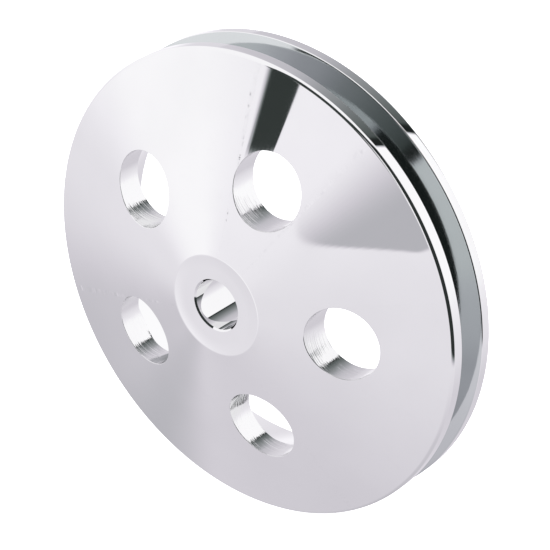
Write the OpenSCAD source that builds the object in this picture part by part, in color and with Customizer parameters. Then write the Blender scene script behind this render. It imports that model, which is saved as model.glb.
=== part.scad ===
// Single-groove V-belt pulley for an engine accessory drive, with a press-fit hub.
// Millimetres. The axis is Y, the front face looks towards -Y, +Z is up.
// The origin is on the axis, in the middle plane of the belt groove.

/* [Rim] */
// Outside diameter over both flanges
outer_d = 165.1; // [155:0.1:190]
// Width of the rim across both flanges
rim_w = 20.3; // [18:0.1:26]
// Width of the belt groove at its mouth
groove_w = 11; // [10:0.1:12]
// Depth of the belt groove below the flanges
groove_depth = 12; // [9:0.1:13]
// Included angle of the belt groove
groove_angle = 36; // [34:1:38]
// Radius of the rounded outer corners of both flanges
flange_r = 1.4; // [0.3:0.1:2]
// Radius of the rounded lips at the mouth of the groove
lip_r = 0.5; // [0.2:0.1:1]
// Radius in both corners of the groove's root
root_r = 0.8; // [0.2:0.1:1.2]

/* [Web] */
// How far the cone's inner edge stands in front of the rim
cone_rise = 16.2; // [12:0.1:20]
// Thickness of the web beside the hub, along the axis
web_t_hub = 12.5; // [9:0.1:14]
// Thickness of the web at the foot of the rim, along the axis
web_t_rim = 8.8; // [6:0.1:10]
// Diameter of the rear recess at its floor
recess_floor_d = 117.2; // [112:0.1:120]
// Diameter of the rear recess at its mouth
recess_mouth_d = 128.8; // [122:0.1:132]
// Radius between the recess's floor and its wall
recess_fillet_r = 3; // [1:0.1:5]
// Radius of the recess's rounded mouth
recess_lip_r = 0.8; // [0.3:0.1:1.5]

/* [Lightening holes] */
// Number of holes through the web
hole_count = 5; // [3:1:6]
// Diameter of each hole
hole_d = 25.4; // [15:0.1:27]
// Diameter of the circle through the holes' centres
hole_pcd = 91.7; // [84:0.1:94]

/* [Hub] */
// Outside diameter of the hub
hub_d = 34.9; // [30:0.1:40]
// Length of the hub along the axis
hub_l = 17.45; // [16:0.05:32]
// Diameter of the shaft bore
bore_d = 17.45; // [12:0.05:22]
// Diameter of the flat seat round the bore
seat_d = 26; // [24:0.1:28]
// How far the flat seat lies below the hub's outer edge
seat_depth = 0.2; // [0.2:0.1:1]
// Width of the 45 degree chamfer at both ends of the bore
bore_chamfer = 0.55; // [0.3:0.05:1]
// Radius of the rounded corner at the hub's rear end
hub_rear_r = 1; // [0.3:0.1:1.5]

/* [Hidden] */
$fn = 96;

CHROME = "#d6d8dd";
PLATED_STEEL = "#b9bec6";
ARC_STEPS = 8;
PAST = 2;

outer_r = outer_d / 2;
hub_r = hub_d / 2;
bore_r = bore_d / 2;
hole_r = hole_d / 2;
front_z = rim_w / 2;
cone_top_z = front_z + cone_rise;
hub_rear_z = cone_top_z - hub_l;
seat_z = cone_top_z - seat_depth;
groove_root_w = groove_w - 2 * groove_depth * tan(groove_angle / 2);
recess_floor_r = recess_floor_d / 2;

// Height of the cone's front surface at radius r
function cone_z(r) = front_z + cone_rise * (outer_r - r) / (outer_r - hub_r);

// Points on an arc of radius r about centre c, from angle a to angle b
function arc(c, r, a, b) =
    [for (i = [0 : ARC_STEPS]) let (t = a + (b - a) * i / ARC_STEPS) c + r * [cos(t), sin(t)]];

// The corner p between neighbours a and b, rounded to radius r
function corner(a, p, b, r) =
    let (u = (a - p) / norm(a - p), v = (b - p) / norm(b - p),
         half = acos(u * v) / 2,
         m = (u + v) / norm(u + v),
         c = p + m * r / sin(half),
         turn = sign(u[0] * v[1] - u[1] * v[0]),
         mid = atan2(-m[1], -m[0]))
    arc(c, r, mid - turn * (half - 90), mid + turn * (half - 90));

// The middle points of a run of [radius, height, corner radius], each with its corner rounded
function rounded_run(points) =
    let (flat = [for (p = points) [p[0], p[1]]])
    [for (i = [1 : len(points) - 2])
        each corner(flat[i - 1], flat[i], flat[i + 1], points[i][2])];

// A shape turned about +Z, laid over so that its front looks towards -Y
module turned(outline) {
    rotate([90, 0, 0]) rotate_extrude() polygon(outline);
}

function sheave_outline() = let (
    inner_front = [hub_r, cone_top_z],
    inner_rear = [hub_r, cone_top_z - web_t_hub]
) concat([inner_front], rounded_run([
    inner_front,
    [outer_r, front_z, flange_r],
    [outer_r, groove_w / 2, lip_r],
    [outer_r - groove_depth, groove_root_w / 2, root_r],
    [outer_r - groove_depth, -groove_root_w / 2, root_r],
    [outer_r, -groove_w / 2, lip_r],
    [outer_r, -front_z, flange_r],
    [recess_mouth_d / 2, -front_z, recess_lip_r],
    [recess_floor_r, cone_z(recess_floor_r) - web_t_rim, recess_fillet_r],
    inner_rear,
]), [inner_rear]);

// The dished ring that rises from the flat seat to the hub's front edge
function dish_points() =
    let (w = hub_r - seat_d / 2,
         r = (w * w + seat_depth * seat_depth) / (2 * seat_depth))
    arc([seat_d / 2, seat_z + r], r, -90, -90 + asin(w / r));

function hub_outline() = concat(
    dish_points(),
    rounded_run([
        [hub_r, cone_top_z],
        [hub_r, hub_rear_z, hub_rear_r],
        [bore_r, hub_rear_z]]),
    [[bore_r + bore_chamfer, hub_rear_z],
     [bore_r, hub_rear_z + bore_chamfer],
     [bore_r, seat_z - bore_chamfer],
     [bore_r + bore_chamfer, seat_z]]);

module lightening_holes() {
    for (i = [0 : hole_count - 1])
        rotate([90, 0, 0]) rotate([0, 0, i * 360 / hole_count]) translate([hole_pcd / 2, 0, 0])
            cylinder(r = hole_r, h = cone_top_z + PAST);
}

// Rim, web and cone face: one turned disc with the belt groove in its rim
module sheave() {
    color(CHROME) difference() {
        turned(sheave_outline());
        lightening_holes();
    }
}

// Sleeve pressed into the sheave, bored for the driven shaft
module hub() {
    color(PLATED_STEEL) turned(hub_outline());
}

sheave();
hub();
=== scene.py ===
"""A single-groove V-belt pulley in bright chrome: the sheave and the hub pressed into it.

Lengths are in metres. The axis is Y, the front face looks towards -Y and +Z is up.
"""

import math
from collections import defaultdict, namedtuple

import bmesh
import bpy
import numpy as np
from bpy.props import FloatProperty, FloatVectorProperty, IntProperty, PointerProperty
from bpy.types import NodeSocket, Operator, Panel, PropertyGroup
from mathutils import Matrix, Vector


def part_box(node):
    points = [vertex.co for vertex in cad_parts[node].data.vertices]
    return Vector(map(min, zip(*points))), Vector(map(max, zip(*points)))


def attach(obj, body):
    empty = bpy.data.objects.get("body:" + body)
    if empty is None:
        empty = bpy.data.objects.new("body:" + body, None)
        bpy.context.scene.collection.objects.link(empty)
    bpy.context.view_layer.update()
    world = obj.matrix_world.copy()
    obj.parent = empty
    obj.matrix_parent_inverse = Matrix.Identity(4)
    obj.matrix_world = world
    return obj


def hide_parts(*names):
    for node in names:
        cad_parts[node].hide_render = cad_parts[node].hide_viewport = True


bl_info = {
    "name": "V-Belt Pulley",
    "version": (1, 0, 0),
    "blender": (4, 5, 0),
    "location": "View3D > Sidebar > Pulley",
    "description": "Turns and drills a chrome V-belt pulley, and sets up its studio",
    "category": "Add Mesh",
}

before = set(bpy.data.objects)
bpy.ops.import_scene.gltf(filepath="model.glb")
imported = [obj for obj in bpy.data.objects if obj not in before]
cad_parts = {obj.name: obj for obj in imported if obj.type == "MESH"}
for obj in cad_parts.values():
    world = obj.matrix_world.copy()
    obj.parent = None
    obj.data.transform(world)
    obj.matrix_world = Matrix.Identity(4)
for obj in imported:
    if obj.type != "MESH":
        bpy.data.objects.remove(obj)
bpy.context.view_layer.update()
SHEAVE_LOW, SHEAVE_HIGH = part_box("sheave")
HUB_LOW, HUB_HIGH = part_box("hub")

AXIS = Vector((0, 1, 0))
ORIGIN = Vector((0, 0, 0))
TURN_STEPS = 256
HOLE_STEPS = 96
CORNER_STEPS = 5
CREST_STEPS = 6
DISH_STEPS = 10
# Angles, in degrees, of the rounded lip from the web's face to the hole's wall
LIP_ANGLES = range(20, 91, 14)
# Two points this close are one point
TOUCH = 1e-6
# How far the cutters stand out of the web
CLEARANCE = 0.001
# Faces that meet at less than this angle are shaded as one surface
SHARP = math.cos(math.radians(35))


def length(name, description, default):
    """A size in metres that the panel shows with its unit."""
    return FloatProperty(
        name=name, description=description, default=default, subtype="DISTANCE", unit="LENGTH", precision=5
    )


def tint(name, description, default):
    """A linear colour that the panel shows as a swatch."""
    return FloatVectorProperty(
        name=name, description=description, default=default, subtype="COLOR", size=3, min=0, max=1
    )


def degrees(name, description, default):
    """An angle, given in degrees and kept in radians."""
    return FloatProperty(name=name, description=description, default=math.radians(default), subtype="ANGLE")


def share(name, description, default):
    """A plain number from 0 to 1."""
    return FloatProperty(name=name, description=description, default=default, min=0, max=1)


class SheaveSizes(PropertyGroup):
    """Sizes of the disc with its rim, web and holes."""

    rim_radius: length("Rim radius", "Outside radius of both flanges", SHEAVE_HIGH.x)
    rim_half: length(
        "Half rim width", "From the groove's middle plane to either side of the rim", SHEAVE_HIGH.y
    )
    cone_top: length(
        "Cone top", "How far the cone's inner edge stands in front of the middle plane", -SHEAVE_LOW.y
    )
    groove_half: length("Half groove width", "Half the width of the belt groove at its mouth", 0.0055)
    groove_depth: length("Groove depth", "Depth of the belt groove below the flanges", 0.012)
    groove_angle: degrees("Groove angle", "Included angle of the belt groove", 36)
    web_at_hub: length("Web at the hub", "Thickness of the web beside the hub", 0.0125)
    web_at_rim: length("Web at the rim", "Thickness of the web at the foot of the rim", 0.0088)
    recess_floor: length("Recess floor radius", "Radius of the rear recess at its floor", 0.0586)
    recess_mouth: length("Recess mouth radius", "Radius of the rear recess at its mouth", 0.0644)
    flange_round: length("Flange rounding", "Radius of the flanges' outer corners", 0.0014)
    lip_round: length("Lip rounding", "Radius of the belt groove's lips", 0.0005)
    root_round: length("Root rounding", "Radius in the groove's root", 0.0008)
    recess_round: length("Recess rounding", "Radius between the recess's floor and wall", 0.003)
    mouth_round: length("Mouth rounding", "Radius of the recess's mouth", 0.0008)
    hole_count: IntProperty(name="Holes", description="Number of lightening holes", default=5, min=3, max=6)
    hole_radius: length("Hole radius", "Radius of each lightening hole", 0.0127)
    hole_circle: length("Hole circle", "Radius of the circle through the holes' centres", 0.04585)
    hole_lip: length("Hole lip", "Radius of the rounded edge at each hole's mouths", 0.00025)


class HubSizes(PropertyGroup):
    """Sizes of the sleeve that takes the shaft."""

    radius: length("Hub radius", "Outside radius of the hub", HUB_HIGH.x)
    front: length("Hub front", "Where the hub's front edge is along the axis", HUB_LOW.y)
    rear: length("Hub rear", "Where the hub's rear end is along the axis", HUB_HIGH.y)
    bore: length("Bore radius", "Radius of the shaft bore", 0.008725)
    seat: length("Seat radius", "Radius of the flat seat round the bore", 0.013)
    seat_depth: length("Seat depth", "How far the seat lies below the hub's front edge", 0.0002)
    chamfer: length("Bore chamfer", "Width of the 45 degree chamfer at both ends of the bore", 0.00055)
    rear_round: length("Rear rounding", "Radius of the hub's rear corner", 0.001)


class ChromeFinish(PropertyGroup):
    """Colours and polish of the plating."""

    clean: tint("Clean", "Colour of clean bright chrome", (0.81, 0.81, 0.815))
    hazed: tint("Hazed", "Colour where polish and fingers have left a film", (0.785, 0.785, 0.79))
    satin: tint("Satin", "Colour of the thinner plating in the groove", (0.6, 0.625, 0.63))
    polish: share("Polish", "Roughness of the mirror-polished faces", 0.012)
    haze: share("Haze", "Roughness that the film adds", 0.02)
    bored: share("Bored", "Roughness of the walls of the holes", 0.05)
    turned: share("Turned", "Roughness of the groove", 0.05)
    haze_size: length("Haze size", "Size of the patches in the film", 0.035)
    feed: length("Feed", "Distance between the tool marks", 0.0006)
    mark_depth: length("Mark depth", "Depth of the tool marks", 0.000004)
    crest_round: length("Crest rounding", "Radius of the crest where the cone meets the hub's dish", 0.002)


class StudioSetting(PropertyGroup):
    """Where the camera stands and how bright the studio is."""

    camera_azimuth: degrees("Azimuth", "Camera angle round the object, from the front", 38.03)
    camera_elevation: degrees("Elevation", "Camera angle above the horizon", 29.39)
    camera_roll: degrees("Roll", "Turn of the camera about its own line of sight", 1.4)
    camera_distance: length("Distance", "From the camera to the point it looks at", 0.8199)
    camera_target: FloatVectorProperty(
        name="Target",
        description="Point the camera looks at",
        default=(0.0021, 0.0018, 0.0002),
        subtype="XYZ",
    )
    camera_lens: FloatProperty(name="Lens", description="Focal length in millimetres", default=162.2)
    floor_size: length("Floor", "Side of the square floor", 12.0)
    light: FloatProperty(name="Light", description="Strength of the light tent", default=1.23)
    paper: tint("Paper", "Colour of the pale floor and of the backdrop", (1, 1, 1))


# ---------------------------------------------------------------- turning and drilling


def outline(bm, points):
    """A run of edges through (radius, height) points, and the vertices at its two ends."""
    verts = [bm.verts.new((r, y, 0)) for r, y in points]
    for a, b in zip(verts, verts[1:]):
        bm.edges.new((a, b))
    return verts[0], verts[-1]


def turn(bm):
    """Spins everything in bm about the pulley's axis into a closed body."""
    geom = bm.verts[:] + bm.edges[:]
    bmesh.ops.spin(
        bm, geom=geom, cent=ORIGIN, axis=AXIS, angle=math.tau, steps=TURN_STEPS, use_merge=True
    )
    bmesh.ops.remove_doubles(bm, verts=bm.verts[:], dist=TOUCH)
    bmesh.ops.recalc_face_normals(bm, faces=bm.faces[:])


def ring_edges(bm, r, y):
    """The edges of the circle of radius r at height y."""

    def on_ring(vert):
        return abs(math.hypot(vert.co.x, vert.co.z) - r) < 10 * TOUCH and abs(vert.co.y - y) < 10 * TOUCH

    return [e for e in bm.edges if on_ring(e.verts[0]) and on_ring(e.verts[1])]


def round_ring(bm, before, corner, after, radius):
    """Rounds the circular edge at corner, which lies between its two neighbours in the outline."""
    corner, before, after = Vector(corner), Vector(before), Vector(after)
    half = (before - corner).angle(after - corner) / 2
    bmesh.ops.bevel(
        bm,
        geom=ring_edges(bm, *corner),
        offset=radius / math.tan(half),
        offset_type="OFFSET",
        segments=CORNER_STEPS,
        profile=0.5,
        affect="EDGES",
        clamp_overlap=False,
        material=-1,
    )


def round_rings(bm, points, radii):
    """Rounds the rings at the outline's points, where a point has a radius."""
    for i, radius in enumerate(radii):
        if radius:
            round_ring(bm, points[i - 1], points[i], points[(i + 1) % len(points)], radius)


def piece_from(bm, name):
    """A new object at the origin that holds bm's mesh."""
    mesh = bpy.data.meshes.new(name)
    bm.to_mesh(mesh)
    bm.free()
    piece = bpy.data.objects.new(name, mesh)
    bpy.context.scene.collection.objects.link(piece)
    return piece


def cut(piece, cutter):
    """Takes cutter's volume out of piece, and removes cutter."""
    modifier = piece.modifiers.new("cut", "BOOLEAN")
    modifier.operation, modifier.solver, modifier.object = "DIFFERENCE", "EXACT", cutter
    graph = bpy.context.evaluated_depsgraph_get()
    mesh = bpy.data.meshes.new_from_object(piece.evaluated_get(graph))
    piece.modifiers.clear()
    piece.data = mesh
    mesh.name = piece.name
    bpy.data.objects.remove(cutter)


def corner_normals(mesh):
    """A normal for each corner of each face, led by the largest of the faces that meet there smoothly."""
    normals = np.array([face.normal for face in mesh.polygons])
    areas = np.array([face.area for face in mesh.polygons])
    around = defaultdict(list)
    for face in mesh.polygons:
        for vert in face.vertices:
            around[vert].append(face.index)
    corners = []
    for face in mesh.polygons:
        for vert in face.vertices:
            near = [i for i in around[vert] if normals[i] @ normals[face.index] > SHARP]
            corners.append(areas[near] @ normals[near])
    return np.array(corners)


def shade_smooth(piece, normals):
    """Smooth faces with these corner normals."""
    mesh = piece.data
    mesh.shade_smooth()
    mesh.normals_split_custom_set([Vector(n).normalized() for n in normals])


# ---------------------------------------------------------------- the sheave


def cone_height(sizes, r):
    """Height along Y of the front cone at radius r."""
    hub = HUB_HIGH.x
    inward = (sizes.rim_radius - r) / (sizes.rim_radius - hub)
    return -sizes.rim_half - (sizes.cone_top - sizes.rim_half) * inward


def web_height(sizes, r):
    """Height along Y of the web's rear cone at radius r."""
    hub = HUB_HIGH.x
    inner = -sizes.cone_top + sizes.web_at_hub
    outer = cone_height(sizes, sizes.recess_floor) + sizes.web_at_rim
    return inner + (outer - inner) * (r - hub) / (sizes.recess_floor - hub)


def cone_slope(sizes):
    """Angle between the front cone and a flat face."""
    return math.atan2(sizes.cone_top - sizes.rim_half, sizes.rim_radius - HUB_HIGH.x)


def crest_centre():
    """Centre of the small round crest that the sheave and the hub share, in the outline's plane."""
    scene = bpy.context.scene
    sizes, radius = scene.pulley_sheave, scene.pulley_finish.crest_round
    return Vector((HUB_HIGH.x, -sizes.cone_top + radius / math.cos(cone_slope(sizes)), 0)), radius


def sweep(bm, vert, centre, angle, steps):
    """An arc drawn from vert about centre in the outline's plane, and the vertex at its end."""
    swept = bmesh.ops.spin(bm, geom=[vert], cent=centre, axis=(0, 0, 1), angle=angle, steps=steps)
    return next(g for g in swept["geom_last"] if isinstance(g, bmesh.types.BMVert))


def sheave_points(sizes):
    """The sheave's outline and the rounding of each of its corners."""
    hub = HUB_HIGH.x
    rim, half, mouth = sizes.rim_radius, sizes.rim_half, sizes.groove_half
    root = rim - sizes.groove_depth
    root_half = mouth - sizes.groove_depth * math.tan(sizes.groove_angle / 2)
    crest, radius = crest_centre()
    slope = cone_slope(sizes)
    rows = [
        (hub + radius * math.sin(slope), crest.y - radius * math.cos(slope), 0),
        (rim, -half, sizes.flange_round),
        (rim, -mouth, sizes.lip_round),
        (root, -root_half, sizes.root_round),
        (root, root_half, sizes.root_round),
        (rim, mouth, sizes.lip_round),
        (rim, half, sizes.flange_round),
        (sizes.recess_mouth, half, sizes.mouth_round),
        (sizes.recess_floor, web_height(sizes, sizes.recess_floor), sizes.recess_round),
        (hub, web_height(sizes, hub), 0),
    ]
    return [(r, y) for r, y, _ in rows], [radius for _, _, radius in rows]


def lip_stations(sizes):
    """Rings of a cutter, front to rear: offset from the hole's wall, depth in the web, and the web's face."""
    lip, start = sizes.hole_lip, math.cos(math.radians(LIP_ANGLES[0]))
    front = [(lip, -CLEARANCE, cone_height)]
    for t in map(math.radians, LIP_ANGLES):
        front.append((lip * (1 - math.sin(t)), lip * (start - math.cos(t)), cone_height))
    return front + [(offset, -depth, web_height) for offset, depth, _ in reversed(front)]


def in_turn(verts, x):
    """Vertices sorted by their angle round the line through (x, 0, 0) along the axis."""
    return sorted(verts, key=lambda v: math.atan2(v.co.z, v.co.x - x))


def drill_bits(sizes):
    """One closed cutter for each hole, with lips that follow the web's two cones."""
    bm = bmesh.new()
    upright = Matrix.Rotation(math.pi / 2, 4, "X")
    made = bmesh.ops.create_circle(
        bm, cap_ends=True, segments=HOLE_STEPS, radius=sizes.hole_radius, matrix=upright
    )
    ring = in_turn(made["verts"], 0)
    angles = [math.atan2(v.co.z, v.co.x) for v in ring]
    edges = bm.edges[:]
    for i, (offset, depth, surface) in enumerate(lip_stations(sizes)):
        if i:
            grown = bmesh.ops.extrude_edge_only(bm, edges=edges)["geom"]
            edges = [g for g in grown if isinstance(g, bmesh.types.BMEdge) and len(g.link_faces) == 1]
            ring = in_turn([g for g in grown if isinstance(g, bmesh.types.BMVert)], sizes.hole_circle)
        for vert, angle in zip(ring, angles):
            x = sizes.hole_circle + (sizes.hole_radius + offset) * math.cos(angle)
            z = (sizes.hole_radius + offset) * math.sin(angle)
            vert.co = (x, surface(sizes, math.hypot(x, z)) + depth, z)
    bmesh.ops.contextual_create(bm, geom=edges)
    bmesh.ops.recalc_face_normals(bm, faces=bm.faces[:])
    more = sizes.hole_count - 1
    bmesh.ops.spin(
        bm,
        geom=bm.verts[:] + bm.edges[:] + bm.faces[:],
        cent=ORIGIN,
        axis=AXIS,
        angle=math.tau / sizes.hole_count * more,
        steps=more,
        use_duplicate=True,
    )
    return piece_from(bm, "drill_bits")


def dress(piece, node, choose):
    """Hangs a piece on the root body, hides its CAD node, and gives each face the finish that choose names
    for it.
    """
    makers = [polished_chrome, bored_chrome, turned_chrome]
    for make in makers:
        piece.data.materials.append(make())
    for face in piece.data.polygons:
        face.material_index = makers.index(choose(face))
    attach(piece, "root")
    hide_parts(node)


class PULLEY_OT_sheave(Operator):
    """Turn the disc with its belt groove, and drill its lightening holes"""

    bl_idname = "pulley.sheave"
    bl_label = "Sheave"

    def execute(self, context):
        sizes = context.scene.pulley_sheave
        points, radii = sheave_points(sizes)
        crest, _ = crest_centre()
        slope = cone_slope(sizes)
        bm = bmesh.new()
        cone_start, bore_rear = outline(bm, points)
        crest_top = sweep(bm, cone_start, crest, -slope, CREST_STEPS)
        bm.edges.new((crest_top, bore_rear))
        turn(bm)
        round_rings(bm, points, radii)
        piece = piece_from(bm, "sheave_turned")
        cut(piece, drill_bits(sizes))
        normals = corner_normals(piece.data)
        exact_cone(piece.data, normals, sizes)
        shade_smooth(piece, normals)
        dress(piece, "sheave", self.finish)
        return {"FINISHED"}

    @staticmethod
    def finish(face):
        """Bored in the holes, turned in the groove, polished everywhere else."""
        sizes = bpy.context.scene.pulley_sheave
        r, y = math.hypot(face.center.x, face.center.z), face.center.y
        step = math.tau / sizes.hole_count
        turned = math.atan2(face.center.z, face.center.x)
        turned -= round(turned / step) * step
        from_hole = math.hypot(r * math.cos(turned) - sizes.hole_circle, r * math.sin(turned))
        if from_hole < sizes.hole_radius + sizes.hole_lip / 2:
            return bored_chrome
        in_groove = abs(y) < sizes.groove_half and r > sizes.recess_mouth
        return turned_chrome if in_groove else polished_chrome


def exact_cone(mesh, normals, sizes):
    """Sets the corner normals on the front cone to those of a true cone."""
    slope = cone_slope(sizes)
    for face in mesh.polygons:
        spots = [mesh.vertices[v].co for v in face.vertices]
        if all(abs(co.y - cone_height(sizes, math.hypot(co.x, co.z))) < 5 * TOUCH for co in spots):
            for corner in face.loop_indices:
                co = mesh.vertices[mesh.loops[corner].vertex_index].co
                r = math.hypot(co.x, co.z)
                normals[corner] = (co.x / r * math.tan(slope), -1, co.z / r * math.tan(slope))


# ---------------------------------------------------------------- the hub


class PULLEY_OT_hub(Operator):
    """Turn the sleeve that takes the shaft"""

    bl_idname = "pulley.hub"
    bl_label = "Hub"

    def execute(self, context):
        sizes = context.scene.pulley_hub
        seat_y = sizes.front + sizes.seat_depth
        crest, radius = crest_centre()
        width, rise = sizes.radius - sizes.seat, crest.y - seat_y
        dish = (width**2 + rise**2 - radius**2) / (2 * (radius - rise))
        slope = math.asin(width / (dish + radius))
        bm = bmesh.new()
        bore, chamfer = sizes.bore, sizes.chamfer
        points = [
            (sizes.radius, sizes.rear),
            (bore + chamfer, sizes.rear),
            (bore, sizes.rear - chamfer),
            (bore, seat_y + chamfer),
            (bore + chamfer, seat_y),
            (sizes.seat, seat_y),
        ]
        rear, seat = outline(bm, points)
        dish_top = sweep(bm, seat, (sizes.seat, seat_y - dish, 0), -slope, DISH_STEPS)
        crest_top = sweep(bm, dish_top, crest, slope, CREST_STEPS)
        bm.edges.new((crest_top, rear))
        turn(bm)
        round_rings(bm, points, [sizes.rear_round])
        piece = piece_from(bm, "hub_turned")
        shade_smooth(piece, corner_normals(piece.data))
        dress(piece, "hub", self.finish)
        return {"FINISHED"}

    @staticmethod
    def finish(face):
        """Polished in front and in the bore, turned behind."""
        sizes = bpy.context.scene.pulley_hub
        return turned_chrome if face.center.y > sizes.rear - sizes.rear_round else polished_chrome


# ---------------------------------------------------------------- shader nodes


def put(tree, socket, value):
    """Links value to socket if it is an output, and sets it otherwise."""
    if isinstance(value, NodeSocket):
        tree.links.new(value, socket)
    else:
        socket.default_value = value


def add(tree, kind, *values, **settings):
    """A node of this kind with these settings, whose first inputs take these values."""
    node = tree.nodes.new("ShaderNode" + kind)
    for name, setting in settings.items():
        setattr(node, name, setting)
    for socket, value in zip(node.inputs, values):
        put(tree, socket, value)
    return node


def maths(tree, operation, *values):
    """The result of one sum."""
    return add(tree, "Math", *values, operation=operation).outputs[0]


def smooth(tree, value, low, high):
    """0 at low, 1 at high and smooth between them."""
    return add(tree, "MapRange", value, low, high, interpolation_type="SMOOTHSTEP").outputs[0]


def mixed(tree, amount, first, second):
    """first where amount is 0, second where it is 1."""
    node = add(tree, "Mix", data_type="RGBA")
    for name, value in {"Factor_Float": amount, "A_Color": first, "B_Color": second}.items():
        put(tree, next(i for i in node.inputs if i.identifier == name), value)
    return next(o for o in node.outputs if o.identifier == "Result_Color")


def blended(tree, amount, first, second):
    """The number first where amount is 0, second where it is 1."""
    return maths(tree, "MULTIPLY_ADD", amount, maths(tree, "SUBTRACT", second, first), first)


def ramp(tree, value, stops):
    """A curve of greys or colours through (position, level) stops."""
    node = add(tree, "ValToRGB", value)
    elements = node.color_ramp.elements
    for position, level in stops[1:-1]:
        elements.new(position).color = solid(level)
    (elements[0].position, first), (elements[-1].position, last) = stops[0], stops[-1]
    elements[0].color, elements[-1].color = solid(first), solid(last)
    return node.outputs[0]


def solid(level):
    """A grey level or a colour as red, green, blue and alpha."""
    return (level, level, level, 1) if isinstance(level, (int, float)) else (*level, 1)


# ---------------------------------------------------------------- finishes


# Where the noise turns from bare to filmed, from plain to streaked and from fresh to worn
PATCH_BAND = (0.35, 0.7)
STREAK_BAND = (0.45, 0.75)
WEAR_BAND = (0.4, 0.65)
# Streaks are this many times finer than the patches of film
STREAK_FINENESS = 9.0
WEAR_SCALE = 160.0
# Worn tool marks keep this share of their depth
WORN = 0.4
# The boring tool's marks are this many times deeper than the lathe's
BORING_MARKS = 16


def new_group(name, inputs, outputs):
    """An empty node group with these sockets, and its input and output nodes."""
    tree = bpy.data.node_groups.new(name, "ShaderNodeTree")
    for socket, default in inputs.items():
        made = tree.interface.new_socket(socket, in_out="INPUT", socket_type="NodeSocketFloat")
        made.default_value = default
    for socket in outputs:
        tree.interface.new_socket(socket, in_out="OUTPUT", socket_type="NodeSocketFloat")
    return tree, tree.nodes.new("NodeGroupInput").outputs, tree.nodes.new("NodeGroupOutput").inputs


def haze_group():
    """A thin film on the plating: soft patches, and fine streaks within them."""
    group = bpy.data.node_groups.get("plating_haze")
    if group:
        return group
    group, given, result = new_group("plating_haze", {"Size": 0.03, "Streaks": 0.3}, ["Film"])
    place = add(group, "TexCoord").outputs["Object"]
    scale = maths(group, "DIVIDE", 1.0, given["Size"])
    patches = add(group, "TexNoise", noise_dimensions="3D")
    streaks = add(group, "TexNoise", noise_dimensions="3D")
    for noise, factor, detail in ((patches, 1.0, 2.0), (streaks, STREAK_FINENESS, 4.0)):
        put(group, noise.inputs["Vector"], place)
        put(group, noise.inputs["Scale"], maths(group, "MULTIPLY", scale, factor))
        put(group, noise.inputs["Detail"], detail)
    soft = smooth(group, patches.outputs["Fac"], *PATCH_BAND)
    fine = smooth(group, streaks.outputs["Fac"], *STREAK_BAND)
    put(group, result["Film"], blended(group, maths(group, "MULTIPLY", fine, given["Streaks"]), soft, fine))
    return group


def marks_group():
    """Tool marks: rings at an uneven feed, along the axis or across a turned face."""
    group = bpy.data.node_groups.get("tool_marks")
    if group:
        return group
    inputs = {"Feed": 0.0006, "Along": 1.0, "Across": 0.0}
    group, given, result = new_group("tool_marks", inputs, ["Rings", "Wear"])
    place = add(group, "TexCoord").outputs["Object"]
    x, y, z = add(group, "SeparateXYZ", place).outputs
    r = maths(group, "SQRT", maths(group, "MULTIPLY_ADD", x, x, maths(group, "MULTIPLY", z, z)))
    across = maths(group, "MULTIPLY", r, given["Across"])
    distance = maths(group, "MULTIPLY_ADD", y, given["Along"], across)
    turns = maths(group, "DIVIDE", distance, given["Feed"])
    rings = add(group, "TexNoise", noise_dimensions="1D")
    put(group, rings.inputs["W"], turns)
    put(group, rings.inputs["Scale"], 1.0)
    put(group, rings.inputs["Detail"], 3.0)
    patches = add(group, "TexNoise", noise_dimensions="3D")
    put(group, patches.inputs["Vector"], place)
    put(group, patches.inputs["Scale"], WEAR_SCALE)
    put(group, result["Rings"], rings.outputs["Fac"])
    put(group, result["Wear"], smooth(group, patches.outputs["Fac"], *WEAR_BAND))
    return group


def chrome(name, clean, roughness, marks=None):
    """Bright chrome with its film, and with tool marks where marks gives their direction and depth."""
    material = bpy.data.materials.get(name)
    if material:
        return material
    finish = bpy.context.scene.pulley_finish
    material = bpy.data.materials.new(name)
    material.use_nodes = True
    tree = material.node_tree
    shader = tree.nodes["Principled BSDF"]
    shader.inputs["Metallic"].default_value = 1
    haze = add(tree, "Group", node_tree=haze_group())
    haze.inputs["Size"].default_value = finish.haze_size
    film = haze.outputs["Film"]
    rough = maths(tree, "MULTIPLY_ADD", film, finish.haze, roughness)
    dulled = [c * h / k for c, h, k in zip(clean, finish.hazed, finish.clean)]
    colour = mixed(tree, film, solid(clean), solid(dulled))
    if marks:
        along, across, depth = marks
        tool = add(tree, "Group", node_tree=marks_group())
        tool.inputs["Feed"].default_value = finish.feed
        tool.inputs["Along"].default_value = along
        tool.inputs["Across"].default_value = across
        left = blended(tree, tool.outputs["Wear"], 1.0, WORN)
        height = maths(tree, "MULTIPLY", tool.outputs["Rings"], left)
        bump = add(tree, "Bump")
        bump.inputs["Distance"].default_value = depth
        put(tree, bump.inputs["Height"], height)
        put(tree, shader.inputs["Normal"], bump.outputs["Normal"])
        rough = maths(tree, "MULTIPLY_ADD", tool.outputs["Rings"], roughness / 2, rough)
    put(tree, shader.inputs["Roughness"], rough)
    put(tree, shader.inputs["Base Color"], colour)
    return material


def polished_chrome():
    """Mirror chrome on the cone, the rim and the hub."""
    finish = bpy.context.scene.pulley_finish
    return chrome("polished_chrome", finish.clean, finish.polish)


def bored_chrome():
    """Chrome over the marks of the boring tool, on the walls of the lightening holes."""
    finish = bpy.context.scene.pulley_finish
    return chrome("bored_chrome", finish.clean, finish.bored, (1.0, 0.0, finish.mark_depth * BORING_MARKS))


def turned_chrome():
    """Chrome over the lathe's marks, in the belt groove and behind the hub."""
    finish = bpy.context.scene.pulley_finish
    return chrome("turned_chrome", finish.satin, finish.turned, (0.3, 1.0, finish.mark_depth))


# ---------------------------------------------------------------- the studio


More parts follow.
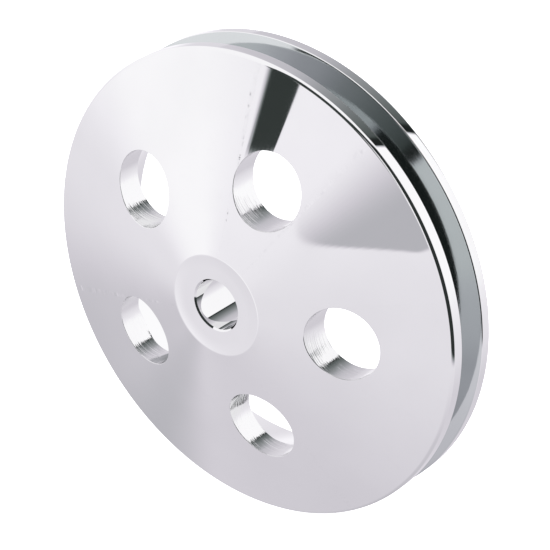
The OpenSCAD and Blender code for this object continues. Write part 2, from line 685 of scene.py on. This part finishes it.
def add_camera(studio):
    """The camera, looking down onto the front from the right."""
    data = bpy.data.cameras.new("camera")
    data.lens = studio.camera_lens
    data.clip_start, data.clip_end = 0.01, 100
    camera = bpy.data.objects.new("camera", data)
    bpy.context.scene.collection.objects.link(camera)
    a, e = studio.camera_azimuth, studio.camera_elevation
    back = Vector((math.sin(a) * math.cos(e), -math.cos(a) * math.cos(e), math.sin(e)))
    aim = back.to_track_quat("Z", "Y").to_matrix().to_4x4() @ Matrix.Rotation(studio.camera_roll, 4, "Z")
    place = Vector(studio.camera_target) + back * studio.camera_distance
    camera.matrix_world = Matrix.Translation(place) @ aim
    bpy.context.scene.camera = camera


# Brightness of the tent's rear wall above and below its seam, by azimuth in degrees from the front towards +X
REAR_WALL = (
    (90, 0.96), (164.9, 0.96), (165.6, 0.012), (169, 0.02), (170.5, 0.085), (176.5, 0.13), (185, 0.19),
    (201, 0.33), (214, 0.5), (224, 0.56), (228, 0.64), (270, 0.75),
)
REAR_SKIRT = ((90, 0.96), (190, 0.96), (212, 0.72), (228, 0.66), (270, 0.75))
REAR_SEAM = 12.0
# Brightness of the table behind the pulley, by elevation in degrees
REAR_TABLE = ((-90, 0.5), (-46, 0.6), (-38, 0.6), (-28, 0.72), (-17, 0.8), (-8, 0.9), (0, 0.95))
# Brightness of the table and the tent in front of the pulley, by elevation in degrees
FRONT_WALL = (
    (-90, 0.5), (-60, 0.56), (-50, 0.62), (-40, 0.68), (-30, 0.735), (-20, 0.755), (-10, 0.81), (-4, 0.85),
    (5, 0.92), (90, 0.95),
)
# Colour of the tent's paper, from its darkest shade to its brightest
PAPER_TINTS = (
    (0, (0, 0, 0)), (0.06, (0.05, 0.06, 0.057)), (0.14, (0.125, 0.14, 0.139)), (0.28, (0.268, 0.28, 0.289)),
    (0.42, (0.418, 0.418, 0.445)), (0.6, (0.622, 0.6, 0.645)), (0.85, (0.867, 0.85, 0.885)), (1, (1, 1, 1)),
)
# How far the rear wall's bands lean, in degrees of azimuth for each degree of elevation
REAR_LEAN = 0.152
# Elevations between which the rear wall turns into the tent's roof, and the roof's brightness
ROOF_BAND = (52.0, 65.0)
ROOF = 0.92
# Elevations between which the table turns into the rear wall
TABLE_BAND = (-12.0, 0.0)
# How far a direction points to the rear where the front of the tent turns into its rear
REAR_BAND = (0.45, 0.62)
# A flat thing in front of the pulley, in degrees: its middle, its tilt, its reach to each side
# and the softness of its four edges, and then its brightness
Card = namedtuple("Card", "azimuth elevation tilt left right down up soft level")
CARDS = (
    Card(-84, -40, 0, 20, 4, 10, 4, (18, 18, 18, 14), 0.5),
    Card(-77, -49, 0, 1, 1, 3, 1, (8, 12, 8, 7), 0.42),
    Card(-27, -21, 0, 3, 3, 3, 3, (12, 12, 12, 12), 0.93),
    Card(-48, -6, 0, 6, 5, 4, 20, (18, 12, 13, 8), 0.93),
    Card(-12.9, -11.65, 140.8, 6.6, -1.6, 7.5, 0, (0.6, 10, 5.5, 0.25), 0.45),
    Card(-29.3, 15, 0, 2, 2, 18.5, 30, (1.2, 0.3, 0.5, 6), 0.04),
    Card(-14, 25, 0, 13, 16, 21, 20, (3, 6, 3, 6), 0.05),
    Card(0, 47, 0, 31, 40, 12, 10, (3, 4, 4, 5), 0.04),
    Card(60, 0, 0, 37, 42, 24, 62, (4, 4, 6, 4), 0.03),
)


def angles_of(tree, direction):
    """How far a direction points to the rear, its azimuth and its elevation, both in degrees."""
    x, y, z = add(tree, "SeparateXYZ", direction).outputs
    azimuth = maths(tree, "DEGREES", maths(tree, "ARCTAN2", x, maths(tree, "MULTIPLY", y, -1.0)))
    return y, azimuth, maths(tree, "DEGREES", maths(tree, "ARCSINE", z))


def by_degrees(tree, angle, low, high, stops):
    """A ramp whose stops are given in degrees between low and high."""
    place = add(tree, "MapRange", angle, low, high).outputs[0]
    return ramp(tree, place, [((degree - low) / (high - low), level) for degree, level in stops])


def card_mask(tree, azimuth, elevation, card):
    """1 on the card, 0 off it, and soft at its edges."""
    c, s = math.cos(math.radians(card.tilt)), math.sin(math.radians(card.tilt))
    x, y = maths(tree, "SUBTRACT", azimuth, card.azimuth), maths(tree, "SUBTRACT", elevation, card.elevation)
    along = maths(tree, "MULTIPLY_ADD", x, c, maths(tree, "MULTIPLY", y, s))
    across = maths(tree, "MULTIPLY_ADD", y, c, maths(tree, "MULTIPLY", x, -s))
    left, right, down, up = card.soft
    edges = [
        smooth(tree, along, -card.left - left, -card.left),
        smooth(tree, along, card.right + right, card.right),
        smooth(tree, across, -card.down - down, -card.down),
        smooth(tree, across, card.up + up, card.up),
    ]
    mask = edges[0]
    for edge in edges[1:]:
        mask = maths(tree, "MULTIPLY", mask, edge)
    return mask


def add_world(studio):
    """A white light tent round the pulley, and clean paper wherever the camera looks past it."""
    world = bpy.data.worlds.new("light_tent")
    bpy.context.scene.world = world
    world.use_nodes = True
    tree = world.node_tree
    y, azimuth, elevation = angles_of(tree, add(tree, "TexCoord").outputs["Generated"])
    leaning = maths(tree, "MULTIPLY_ADD", elevation, REAR_LEAN, azimuth)
    wall = by_degrees(tree, maths(tree, "FLOORED_MODULO", leaning, 360.0), 90, 270, REAR_WALL)
    wall = blended(tree, smooth(tree, elevation, *ROOF_BAND), wall, ROOF)
    skirt = by_degrees(tree, maths(tree, "FLOORED_MODULO", azimuth, 360.0), 90, 270, REAR_SKIRT)
    wall = blended(tree, smooth(tree, elevation, REAR_SEAM - 1.0, REAR_SEAM + 1.0), skirt, wall)
    table = by_degrees(tree, elevation, -90, 0, REAR_TABLE)
    rear = blended(tree, smooth(tree, elevation, *TABLE_BAND), table, wall)
    front = by_degrees(tree, elevation, -90, 90, FRONT_WALL)
    for card in CARDS:
        front = blended(tree, card_mask(tree, azimuth, elevation, card), front, card.level)
    level = blended(tree, smooth(tree, y, *REAR_BAND), front, rear)
    tent = ramp(tree, level, PAPER_TINTS)
    seen = add(tree, "LightPath").outputs["Is Camera Ray"]
    background = tree.nodes["Background"]
    put(tree, background.inputs["Color"], mixed(tree, seen, tent, (*studio.paper, 1)))
    put(tree, background.inputs["Strength"], blended(tree, seen, studio.light, 1.0))


def add_floor(studio):
    """A pale floor under the rim."""
    bm = bmesh.new()
    bmesh.ops.create_grid(
        bm,
        x_segments=1,
        y_segments=1,
        size=studio.floor_size / 2,
        matrix=Matrix.Translation((0, 0, -SHEAVE_HIGH.x)),
    )
    floor = piece_from(bm, "floor")
    floor.visible_glossy = False
    material = bpy.data.materials.new("floor")
    material.use_nodes = True
    shader = material.node_tree.nodes["Principled BSDF"]
    shader.inputs["Base Color"].default_value = (*studio.paper, 1)
    shader.inputs["Emission Color"].default_value = (*studio.paper, 1)
    shader.inputs["Emission Strength"].default_value = 1
    floor.data.materials.append(material)


class PULLEY_OT_stage(Operator):
    """Set up the camera, the soft light and the pale floor"""

    bl_idname = "pulley.stage"
    bl_label = "Studio"

    def execute(self, context):
        studio = context.scene.pulley_studio
        context.scene.view_settings.view_transform = "Standard"
        add_camera(studio)
        add_world(studio)
        add_floor(studio)
        return {"FINISHED"}


class PULLEY_PT_panel(Panel):
    """Buttons and sizes in the sidebar"""

    bl_idname = "PULLEY_PT_panel"
    bl_label = "V-Belt Pulley"
    bl_space_type = "VIEW_3D"
    bl_region_type = "UI"
    bl_category = "Pulley"

    def draw(self, context):
        for operator in OPERATORS:
            self.layout.operator(operator.bl_idname)
        for group in GROUPS:
            settings = getattr(context.scene, group)
            for name in settings.__annotations__:
                self.layout.prop(settings, name)


OPERATORS = [PULLEY_OT_sheave, PULLEY_OT_hub, PULLEY_OT_stage]
GROUPS = {
    "pulley_sheave": SheaveSizes,
    "pulley_hub": HubSizes,
    "pulley_finish": ChromeFinish,
    "pulley_studio": StudioSetting,
}
CLASSES = [*GROUPS.values(), *OPERATORS, PULLEY_PT_panel]


def register():
    for cls in CLASSES:
        bpy.utils.register_class(cls)
    for name, group in GROUPS.items():
        setattr(bpy.types.Scene, name, PointerProperty(type=group))


def unregister():
    for name in GROUPS:
        delattr(bpy.types.Scene, name)
    for cls in reversed(CLASSES):
        bpy.utils.unregister_class(cls)


def main():
    register()
    bpy.ops.pulley.stage()
    bpy.ops.pulley.sheave()
    bpy.ops.pulley.hub()


if __name__ == "__main__":
    main()
